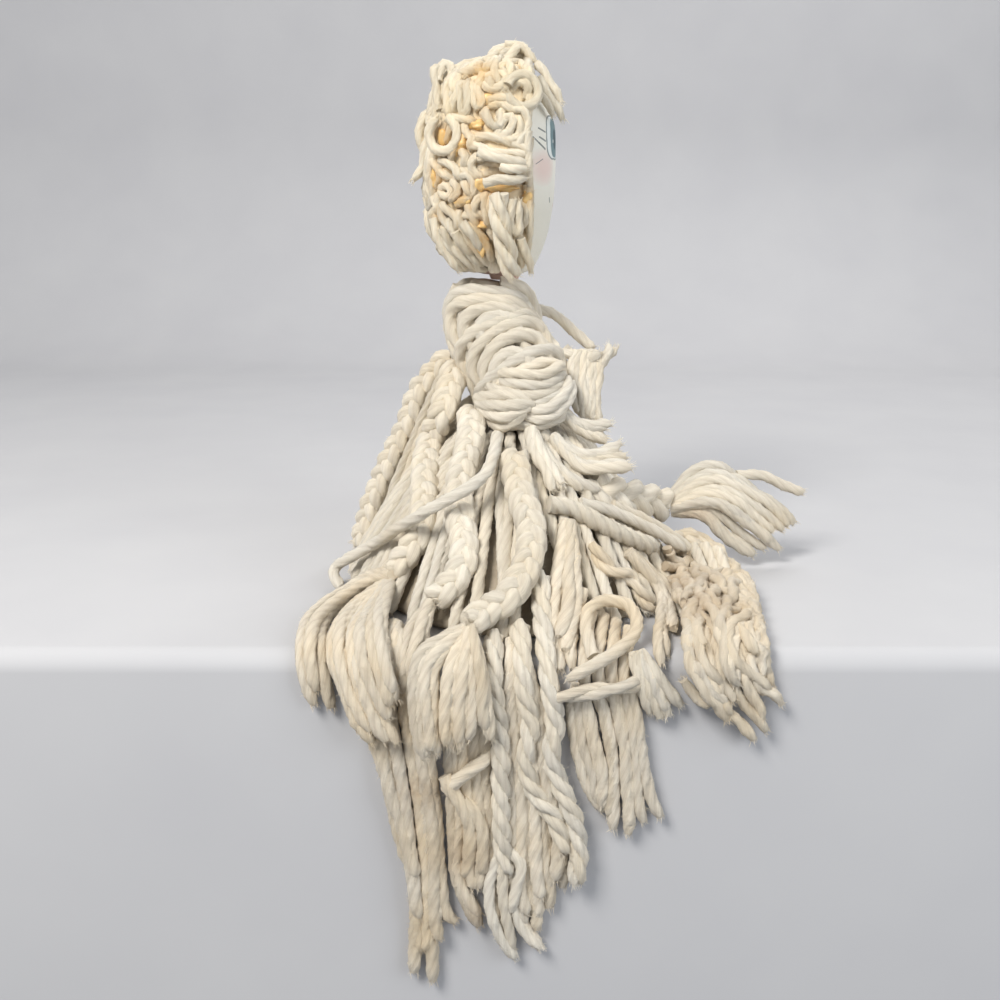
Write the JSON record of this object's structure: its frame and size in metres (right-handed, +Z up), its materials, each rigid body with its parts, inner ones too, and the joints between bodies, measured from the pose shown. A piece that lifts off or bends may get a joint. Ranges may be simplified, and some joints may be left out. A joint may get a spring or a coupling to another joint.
{
  "type": "yarn doll",
  "caption": "Seated yarn doll: stuffed cloth head with glued yarn hair and painted face, plaited body, and a skirt of plaits, ropes and loose strands.",
  "frame": {"origin": "on the flat underside of the skirt, where the doll sits, under the middle of the neck", "axes": "+Z up, +X the way the face looks, +Y the doll's far side in the picture"},
  "size_m": [0.2194, 0.1861, 0.3623],
  "materials": {
    "pale_yarn": "matt twisted cotton",
    "cream_yarn": "matt twisted cotton",
    "hair_yarn": "matt cotton with dried glue",
    "old_glue": "yellowed glue",
    "white_cloth": "painted smooth cloth",
    "neck_cloth": "matt cloth",
    "cotton_wad": "loose cotton"
  },
  "bodies": {
    "body": {"skirt_bundle": "pale_yarn", "torso_plait": "pale_yarn", "waist_wrap_upper": "pale_yarn", "waist_wrap_lower": "pale_yarn", "waist_tie_left": "pale_yarn", "waist_tie_right": "pale_yarn", "side_knot": "pale_yarn", "side_fan": "pale_yarn", "shoulder_strand": "pale_yarn", "fringe_upper": "pale_yarn", "fringe_short": "pale_yarn", "fringe_lower": "pale_yarn", "inner_plait": "pale_yarn", "inner_tassel": "cream_yarn", "rope_right": "cream_yarn", "rope_middle": "cream_yarn", "rope_left": "cream_yarn", "hem_left": "cream_yarn", "hem_middle": "cream_yarn", "hem_right": "cream_yarn", "inner_strands_right": "cream_yarn", "back_strands_right": "pale_yarn", "back_strands_middle": "pale_yarn", "back_strands_left": "pale_yarn", "loop_strand": "cream_yarn"},
    "neck": {"neck_roll": "neck_cloth"},
    "head": {"head_stuffing": "cotton_wad", "head_cover": "white_cloth", "glue_coat": "old_glue", "hair_mat": "hair_yarn", "hair_tuft_back": "hair_yarn", "hair_tuft_top": "hair_yarn", "hair_end_loose": "hair_yarn", "forehead_lock_upper": "hair_yarn", "forehead_lock_lower": "hair_yarn", "cheek_lock_upper": "hair_yarn", "cheek_lock_lower": "hair_yarn", "side_lock": "hair_yarn", "side_lock_short": "hair_yarn", "nape_lock_outer": "hair_yarn", "nape_lock_inner": "hair_yarn", "hair_curl_ring": "hair_yarn", "hair_curl_oval": "hair_yarn"},
    "arm": {"arm_plait": "pale_yarn", "hand_tassel": "pale_yarn", "hand_strand": "pale_yarn"},
    "front_lock": {"front_plait": "pale_yarn", "front_tassel": "cream_yarn"},
    "left_lock": {"middle_plait": "pale_yarn", "cross_strand": "pale_yarn", "left_pair": "cream_yarn", "left_tassel": "cream_yarn"},
    "outer_lock": {"outer_plait": "pale_yarn"},
    "right_lock": {"right_rope": "cream_yarn", "second_rope": "cream_yarn", "split_rope": "cream_yarn", "unravelled_skein": "cream_yarn"},
    "corner_lock": {"tassel_band": "cream_yarn", "hanging_tassel": "cream_yarn", "short_tassel": "cream_yarn"}
  },
  "joints": [
    {"name": "neck_turn", "type": "hinge", "parent": "body", "child": "neck", "pos_m": [0.002, 0, 0.1275], "axis": [0, 0, 1], "range_deg": [-30, 30]},
    {"name": "head_nod", "type": "hinge", "parent": "neck", "child": "head", "pos_m": [0.002, 0, 0.135], "axis": [0, 1, 0], "range_deg": [-6, 8]},
    {"name": "arm_lift", "type": "hinge", "parent": "body", "child": "arm", "pos_m": [0.0433, -0.046, 0.045], "axis": [0.7071, -0.7071, 0], "range_deg": [0, 25]},
    {"name": "front_lift", "type": "hinge", "parent": "body", "child": "front_lock", "pos_m": [0.0053, -0.0545, 0.0599], "axis": [-1, 0, 0], "range_deg": [0, 30]},
    {"name": "left_lift", "type": "hinge", "parent": "body", "child": "left_lock", "pos_m": [-0.0211, -0.006, 0.0955], "axis": [-0.76, 0.65, 0], "range_deg": [0, 20]},
    {"name": "outer_lift", "type": "hinge", "parent": "body", "child": "outer_lock", "pos_m": [-0.0228, 0.004, 0.0938], "axis": [0, 1, 0], "range_deg": [0, 35]},
    {"name": "right_lift", "type": "hinge", "parent": "body", "child": "right_lock", "pos_m": [0.0194, -0.071, 0.0444], "axis": [-0.6549, -0.7557, 0], "range_deg": [0, 20]},
    {"name": "corner_swing", "type": "hinge", "parent": "body", "child": "corner_lock", "pos_m": [0.0378, -0.121, -0.0015], "axis": [-1, 0, 0], "range_deg": [0, 25]}
  ]
}
